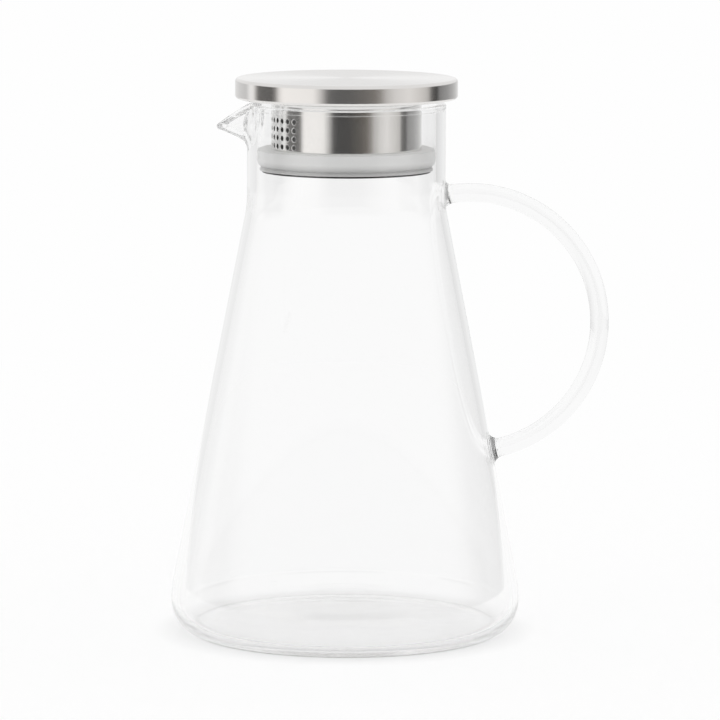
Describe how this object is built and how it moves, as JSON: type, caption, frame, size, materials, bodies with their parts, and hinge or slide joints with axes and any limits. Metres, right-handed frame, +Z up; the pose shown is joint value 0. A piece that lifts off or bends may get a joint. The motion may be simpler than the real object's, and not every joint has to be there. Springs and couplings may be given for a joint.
{
  "type": "glass water jug",
  "caption": "Conical clear glass jug with a straight neck, pulled spout and round rod handle, and a flat steel lid with a strainer sleeve and a soft sealing ring.",
  "frame": {"origin": "on the table plane, on the axis of the round body, neck and lid", "axes": "+Z up along the body's axis, -X towards the spout, +X towards the handle"},
  "size_m": [0.1943, 0.1552, 0.2469],
  "materials": {
    "clear_glass": "clear fire-polished glass",
    "brushed_steel": "fine brushed stainless steel",
    "pressed_steel": "satin stainless steel",
    "polished_steel": "polished stainless steel",
    "silicone": "matt translucent silicone"
  },
  "bodies": {
    "root": {"glass_jug": "clear_glass", "lid_cap": "brushed_steel", "lid_base_plate": "pressed_steel", "strainer_sleeve": "polished_steel", "seal_ring": "silicone"}
  },
  "joints": []
}
